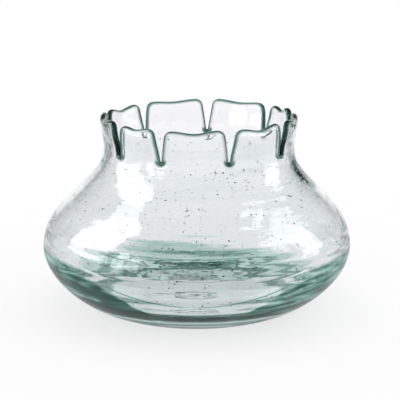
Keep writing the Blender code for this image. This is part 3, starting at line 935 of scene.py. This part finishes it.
# %% [markdown]
# From a share of green and painted shade to a colour. Light passes the tint on its way in and again
# on its way out, and a straight mix from clear to a very dark green looks grey halfway. So the tint
# goes to a middle green first, and from there to the deep green of the painted shade.

# %% The finished glass
GLASS_IOR = 1.51
GLASS_ROUGHEST = 0.02
ABSORPTION_COLOUR = (0.25, 0.65, 0.53, 1.0)
ABSORPTION_DENSITY = 10.0
MIDDLE_GREEN = (0.22, 0.52, 0.42, 1.0)
DEEP_GREEN_SHADE = (0.001, 0.032, 0.018, 1.0)
TO_MIDDLE = (0.0, 0.45)
TO_DEEP = (0.42, 0.95)

# The green and the painted shade of both skins together pick the tint.
green_and_shade_share = outside_green_and_shade.largest(inside_green_and_shade)
tint = recipe.mix_colours(green_and_shade_share.ramp(*TO_MIDDLE), tint, MIDDLE_GREEN)
tint = recipe.mix_colours(green_and_shade_share.ramp(*TO_DEEP), tint, DEEP_GREEN_SHADE)
shader = recipe.node("ShaderNodeBsdfPrincipled", {}, {
    "Base Color": tint,
    "Roughness": cloud * GLASS_ROUGHEST,
    "IOR": GLASS_IOR,
    "Transmission Weight": 1.0,
    "Normal": bumpy,
})
absorption = recipe.node("ShaderNodeVolumeAbsorption", {}, {
    "Color": ABSORPTION_COLOUR, "Density": ABSORPTION_DENSITY})
recipe.node("ShaderNodeOutputMaterial", {}, {"Surface": shader, "Volume": absorption})
vase.data.materials.append(glass)
print("nodes in the glass:", len(glass.node_tree.nodes))

# %% [markdown]
# Air in the glass. A bubble bends light away from the eye, so a tiny one looks like a dark dot and a
# large one like a pale pool with a dark rim. The meshes stand for the bubbles' own surfaces, and that
# darkness is painted on them as shade: the small ones are tinted nearly black and the blisters hardly
# at all.

# %% Seeds and blisters, tinted with painted shade
SPECKLE = (400.0, 1.0, 1.0)
AIR_ROUGHEST = 0.05
SEED_SHADE_TINTS = ((0.02, 0.05, 0.04, 1.0), (0.16, 0.26, 0.23, 1.0))
SEED_IOR = 1.5
BLISTER_SHADE_TINTS = ((0.70, 0.80, 0.77, 1.0), (0.88, 0.93, 0.92, 1.0))
BLISTER_IOR = 1.4


def air_material(name, darkest, lightest, ior):
    """Clear and nearly smooth, its tint of painted shade going from the darkest to the lightest with a fine
    noise.
    """
    material, recipe = new_material(name)
    speckle = recipe.noise(recipe.node("ShaderNodeTexCoord", output="Object"), *SPECKLE)
    shader = recipe.node("ShaderNodeBsdfPrincipled", {}, {
        "Base Color": recipe.mix_colours(speckle, darkest, lightest),
        "Roughness": speckle * AIR_ROUGHEST,
        "IOR": ior,
        "Transmission Weight": 1.0,
    })
    recipe.node("ShaderNodeOutputMaterial", {}, {"Surface": shader})
    return material


seeds.data.materials.append(air_material("seed_air", *SEED_SHADE_TINTS, SEED_IOR))
blisters.data.materials.append(air_material("blister_air", *BLISTER_SHADE_TINTS, BLISTER_IOR))

# %% [markdown]
# The stage. Clear glass shows its surroundings, so the stage is half of the picture. Glass is
# photographed on a white sheet that runs up behind it, with the room left darker at the sides and
# overhead: straight through the glass the eye sees white, and wherever the glass bends the view far
# enough, at an edge or in the base, it sees the dark room, which draws the outlines.
#
# The sheet is white all over for the camera. For rays that come through the glass it ends where paper
# would, and goes on in strips to the sides and in front, so that the vase is clear from there too.
# Close to the vase it glows less for mirrored rays, a painted shade for the vase's own body.

# %% White sheet
SHEET_REACH = 3.0
SHEET_DROP = 0.15 * MM
SHEET_POINTS = 9


def level_grid(reach, height, count):
    """A level square of points, with x and y running evenly from minus to plus the reach."""
    line = np.linspace(-reach, reach, count)
    x, y = np.meshgrid(line, line)
    points = np.stack((x, y, np.full_like(x, height)), axis=-1).reshape(-1, 3)
    corner = (np.arange(count - 1)[:, None] * count + np.arange(count - 1)).ravel()
    return points, np.stack((corner, corner + 1, corner + count + 1, corner + count), axis=1).tolist()


sheet = make_mesh("white_sheet", *level_grid(SHEET_REACH, -SHEET_DROP, SHEET_POINTS))

# %% Where the sheet is white
SHEET_HALF_WIDTH = 0.18
SHEET_SPREAD = 0.27
SHEET_EDGE = 0.08
SHEET_FRONT = (-0.45, -0.37)
SIDE_STRIP = (0.24, 0.32)
FRONT_STRIP = (-0.12, -0.24)

paper, recipe = new_material("white_paper")
camera_ray = recipe.ray("Camera")
glossy_ray = recipe.ray("Glossy")
through_ray = recipe.ray("Transmission")
spot = recipe.node("ShaderNodeTexCoord", output="Object")
across = recipe.part(spot, "X")
deep = recipe.part(spot, "Y")
half_width = deep.largest(0.0) * SHEET_SPREAD + SHEET_HALF_WIDTH
on_sheet = (half_width - across.size()).ramp(0.0, SHEET_EDGE) * deep.ramp(*SHEET_FRONT)
strip_half = across.size() * SHEET_SPREAD + SHEET_HALF_WIDTH
side_strip = (strip_half - deep.size()).ramp(0.0, SHEET_EDGE) * across.size().ramp(*SIDE_STRIP)
strips = side_strip.largest(deep.ramp(*FRONT_STRIP)) * through_ray
under_camera = on_sheet.largest(camera_ray)
white_here = under_camera.largest(strips)

# %% Paper: what it sends back of the light and what it glows by itself
SHADED = (0.45, 0.25)
SHEET_FILL = 0.755
ROOM_FLOOR = 0.34
MIRRORED_SHADE = 0.55
PAPER = (0.26, 0.2561, 0.2626, 1.0)
PAPER_ROUGHNESS = 0.9
THROUGH_GLASS = (0.985, 0.955, 0.995, 1.0)

near = recipe.length(spot).ramp(*SHADED)
glow = (near * SHEET_FILL + (1 - near)) * white_here + (1 - white_here) * ROOM_FLOOR
mirrored = glossy_ray * (1 - through_ray)
# Painted shade: near the vase the sheet glows less for rays mirrored in the glass.
glow = glow * (1 - mirrored * near * MIRRORED_SHADE)
seen = glossy_ray.largest(through_ray).largest(camera_ray)
paper_light = recipe.mix_colours(camera_ray, THROUGH_GLASS, WHITE)
paper_shader = recipe.node("ShaderNodeBsdfPrincipled", {}, {
    "Base Color": recipe.mix_colours(near * under_camera, BLACK, PAPER),
    "Roughness": PAPER_ROUGHNESS,
    "Specular IOR Level": 0.0,
    "Emission Color": recipe.mix_colours(glow * seen, BLACK, paper_light),
    "Emission Strength": 1.0,
})
recipe.node("ShaderNodeOutputMaterial", {}, {"Surface": paper_shader})
sheet.data.materials.append(paper)

# %% [markdown]
# The room. It has no walls: a direction alone says how bright it is. Behind the vase stands the white
# backdrop, as high as the sheet runs up, and for rays through the glass there is white to the sides
# and in front too. The rest is dark, a little lighter at the horizon. Diffuse rays find an even pale
# room, so that the shadow under the vase is soft, and the camera itself sees white.

# %% Room
ROOM_DARK = 0.11
ROOM_HORIZON = 0.38
ROOM_FILL = 0.95
BACKDROP_EDGE = (0.855, 0.945)
BACKDROP_TOP = (0.42, 0.30)
SIDE_WHITE_EDGE = (0.86, 0.94)
FRONT_WHITE_EDGE = (-0.20, -0.45)
HORIZON_EDGE = (0.12, 0.04)

world = bpy.data.worlds.new("room")
world.use_nodes = True
recipe = Recipe(world.node_tree)
direction = recipe.node("ShaderNodeTexCoord", output="Generated")
sideways = recipe.part(direction, "X").size()
backwards = recipe.part(direction, "Y")
upwards = recipe.part(direction, "Z")
other_sides = sideways.ramp(*SIDE_WHITE_EDGE).largest(backwards.ramp(*FRONT_WHITE_EDGE))
other_sides = other_sides * recipe.ray("Transmission")
backdrop = backwards.ramp(*BACKDROP_EDGE).largest(other_sides) * upwards.ramp(*BACKDROP_TOP)
dark_room = upwards.ramp(*HORIZON_EDGE) * (ROOM_HORIZON - ROOM_DARK) + ROOM_DARK
room = (1 - backdrop) * dark_room + backdrop
diffuse_ray = recipe.ray("Diffuse")
camera_ray = recipe.ray("Camera")
strength = room * (1 - diffuse_ray) + diffuse_ray * ROOM_FILL
strength = strength * (1 - camera_ray) + camera_ray
background = recipe.node("ShaderNodeBackground", {}, {"Color": WHITE, "Strength": strength})
recipe.node("ShaderNodeOutputWorld", {}, {"Surface": background})
bpy.context.scene.world = world

# %% [markdown]
# The windows. The white patches on the shoulders are windows mirrored in the glass: a tall one to the
# left, a low one to the right, and a paned one further in front on the left. Each is an area lamp.
# Glass mirrors it, but the camera and diffuse rays pass it by, so the sheet keeps its even light.

# %% Windows: place of the middle, width and height in metres, and brightness where 1 is white
WINDOWS = (
    ("window_left", (-1.00, 0.00, 0.95), 0.70, 1.60, 3.7),
    ("window_right", (1.05, 0.12, 0.50), 0.36, 0.60, 3.0),
)
PANES = tuple((f"pane_{row}_{side}", (x, y, z), 0.20, 0.30, 5.0)
              for row, z in (("upper", 0.60), ("lower", 0.24))
              for side, x, y in (("left", -1.05, -0.66), ("right", -0.90, -0.88)))
WINDOW_TINT = (0.96, 0.98, 1.0)
for name, middle, width, height, brightness in WINDOWS + PANES:
    lamp_data = bpy.data.lights.new(name, "AREA")
    lamp_data.shape = "RECTANGLE"
    lamp_data.size = width
    lamp_data.size_y = height
    lamp_data.energy = brightness * math.pi * width * height
    lamp_data.color = WINDOW_TINT
    lamp = bpy.data.objects.new(name, lamp_data)
    lamp.location = middle
    lamp.rotation_euler = (math.pi / 2, 0.0, math.atan2(-middle[0], middle[1]) + math.pi)
    lamp.visible_camera = False
    lamp.visible_diffuse = False
    bpy.context.scene.collection.objects.link(lamp)
    print(name, "watts:", round(lamp_data.energy, 1))

# %% [markdown]
# How often a ray may turn. Light that is caught in the wall of a glass runs on inside it, from one
# skin to the other. A ray that is stopped too soon leaves a black speck, so the limits are raised.

# %% Rays and colours
LIGHT_BOUNCES = 48
scene = bpy.context.scene
scene.view_settings.view_transform = "Standard"
scene.cycles.max_bounces = LIGHT_BOUNCES
scene.cycles.transmission_bounces = LIGHT_BOUNCES
scene.cycles.glossy_bounces = LIGHT_BOUNCES

# %% [markdown]
# Handing over. All three pieces ride on the one body that the vase has, and the blown glass takes the
# place of the plain solid.

# %% Tie the pieces to the frame and finish
for piece in (vase, seeds, blisters):
    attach(piece, "root")
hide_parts("glass_vase")
